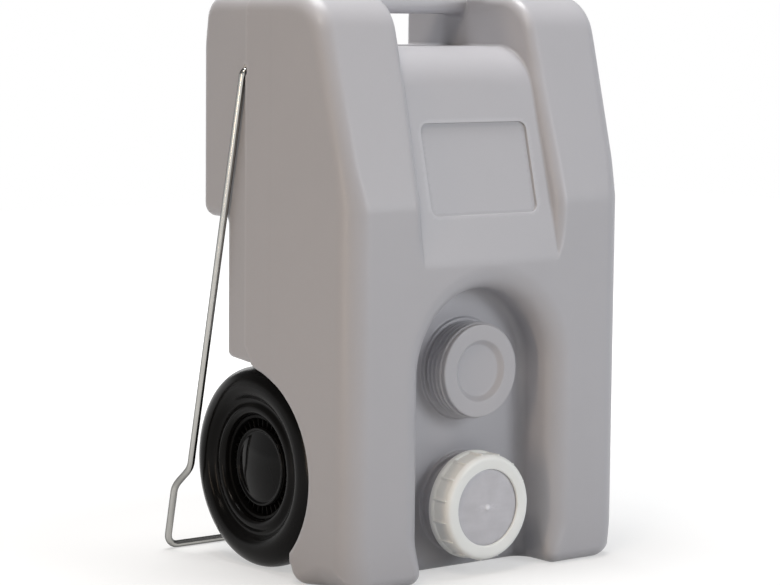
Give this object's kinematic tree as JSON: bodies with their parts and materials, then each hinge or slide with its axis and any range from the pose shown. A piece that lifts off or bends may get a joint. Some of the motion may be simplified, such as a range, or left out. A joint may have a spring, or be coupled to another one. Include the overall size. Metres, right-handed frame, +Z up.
{
  "type": "portable waste water tank",
  "caption": "Portable waste water tank with moulded grey body, handle, closed upper neck, screw-capped drain, black wheels on a through axle and a swinging wire pull bail.",
  "frame": {"origin": "bottom centre of the whole object at rest, on the floor", "axes": "+Z up, the front with the necks faces -Y, +X is to the right seen from the front"},
  "size_m": [0.363, 0.2865, 0.55],
  "materials": {
    "grey_polyethylene": "fine moulded texture, satin",
    "white_polypropylene": "satin",
    "pale_grey_disc": "satin",
    "seal_rubber": "matt",
    "black_wheel_plastic": "satin",
    "gloss_black_plastic": "gloss",
    "white_nylon": "satin",
    "zinc_steel": "bright zinc",
    "bright_wire": "bright plated"
  },
  "bodies": {
    "tank": {"tank_body": "grey_polyethylene", "wheel_axle": "zinc_steel", "inner_washer_left": "zinc_steel", "outer_washer_left": "zinc_steel", "axle_push_nut_left": "zinc_steel", "bail_pivot_bush_left": "white_nylon", "inner_washer_right": "zinc_steel", "outer_washer_right": "zinc_steel", "axle_push_nut_right": "zinc_steel", "bail_pivot_bush_right": "white_nylon"},
    "wheel_left": {"wheel_tyre_left": "black_wheel_plastic", "wheel_rim_left": "black_wheel_plastic", "hub_cap_left": "gloss_black_plastic", "axle_bush_left": "white_nylon"},
    "wheel_right": {"wheel_tyre_right": "black_wheel_plastic", "wheel_rim_right": "black_wheel_plastic", "hub_cap_right": "gloss_black_plastic", "axle_bush_right": "white_nylon"},
    "bail": {"pull_bail": "bright_wire"},
    "cap_insert": {"drain_cap_disc": "pale_grey_disc", "drain_cap_seal": "seal_rubber"},
    "cap_ring": {"drain_cap_ring": "white_polypropylene"}
  },
  "joints": [
    {"name": "wheel_left_spin", "type": "hinge", "parent": "tank", "child": "wheel_left", "pos_m": [0, 0.01869, 0.097], "axis": [1, 0, 0], "continuous": true},
    {"name": "wheel_right_spin", "type": "hinge", "parent": "tank", "child": "wheel_right", "pos_m": [0, 0.01869, 0.097], "axis": [1, 0, 0], "continuous": true},
    {"name": "bail_swing", "type": "hinge", "parent": "tank", "child": "bail", "pos_m": [0, 0.01269, 0.4765], "axis": [1, 0, 0], "range_deg": [-12, 167]},
    {"name": "cap_travel", "type": "slide", "parent": "tank", "child": "cap_insert", "axis": [0, -1, 0], "range_m": [0, 0.0245]},
    {"name": "cap_turn", "type": "hinge", "parent": "cap_insert", "child": "cap_ring", "pos_m": [0, -0.14331, 0.0652], "axis": [0, -1, 0], "range_deg": [0, 1440]}
  ],
  "couplings": [
    {"joint": "cap_travel", "follows": "cap_turn", "m_per_rad": 0.00095493}
  ]
}
